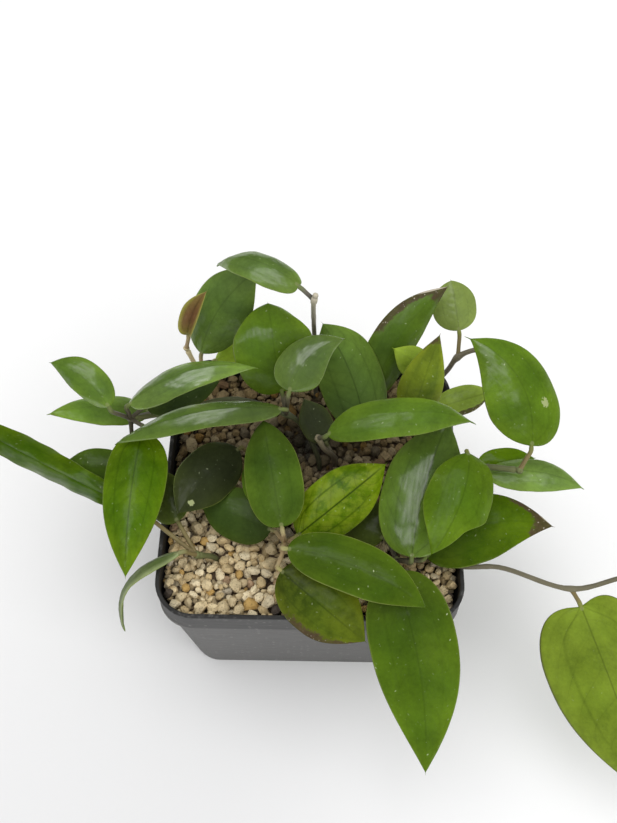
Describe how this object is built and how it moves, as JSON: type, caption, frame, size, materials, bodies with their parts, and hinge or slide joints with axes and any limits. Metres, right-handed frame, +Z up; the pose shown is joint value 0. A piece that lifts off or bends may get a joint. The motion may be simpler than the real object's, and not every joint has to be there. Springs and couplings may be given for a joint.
{
  "type": "potted hoya plant",
  "caption": "Hoya with thick glossy ovate leaves on short woody vines that arch out over a square plastic nursery pot filled with pumice.",
  "frame": {"origin": "middle of the pot's flat underside, on the surface that it stands on", "axes": "+Z up; the pot's front face looks along -Y; +X is to the right of somebody facing that front"},
  "size_m": [0.2435, 0.1595, 0.1249],
  "materials": {
    "pot": "dark grey moulded plastic, finely lined, matte",
    "pumice": "rough cream and tan pumice grains",
    "leaf": "thick waxy green leaf, softly glossy, with fine pale flecks",
    "young_leaf": "bronze young leaf with a yellow-green rim",
    "vine": "brown woody cane, tan petioles"
  },
  "bodies": {
    "root": {"pot": "pot", "pumice": "pumice", "vine_left": "vine", "vine_back": "vine", "vine_back_left": "vine", "vine_back_right": "vine", "vine_centre": "vine", "vine_middle": "vine", "vine_right_back": "vine", "vine_right": "vine", "vine_trailing": "vine", "vine_front_right": "vine", "vine_front": "vine", "vine_front_left": "vine", "vine_left_middle": "vine", "leaf_back_1": "leaf", "leaf_back_2": "leaf", "young_leaf": "young_leaf", "leaf_back_4": "leaf", "leaf_back_5": "leaf", "leaf_back_6": "leaf", "leaf_back_7": "leaf", "leaf_back_8": "leaf", "leaf_right_1": "leaf", "leaf_right_2": "leaf", "leaf_right_3": "leaf", "leaf_right_4": "leaf", "leaf_right_5": "leaf", "leaf_right_6": "leaf", "leaf_right_7": "leaf", "leaf_right_8": "leaf", "leaf_right_9": "leaf", "leaf_right_10": "leaf", "leaf_right_11": "leaf", "trailing_leaf": "leaf", "leaf_front_1": "leaf", "leaf_front_2": "leaf", "leaf_front_3": "leaf", "leaf_front_4": "leaf", "leaf_front_5": "leaf", "leaf_front_6": "leaf", "leaf_front_7": "leaf", "leaf_front_8": "leaf", "leaf_front_9": "leaf", "leaf_left_1": "leaf", "leaf_left_2": "leaf", "leaf_left_3": "leaf", "leaf_left_4": "leaf", "leaf_left_5": "leaf", "leaf_left_6": "leaf", "leaf_left_7": "leaf", "leaf_left_8": "leaf", "leaf_left_9": "leaf", "leaf_left_10": "leaf", "leaf_left_11": "leaf"}
  },
  "joints": []
}
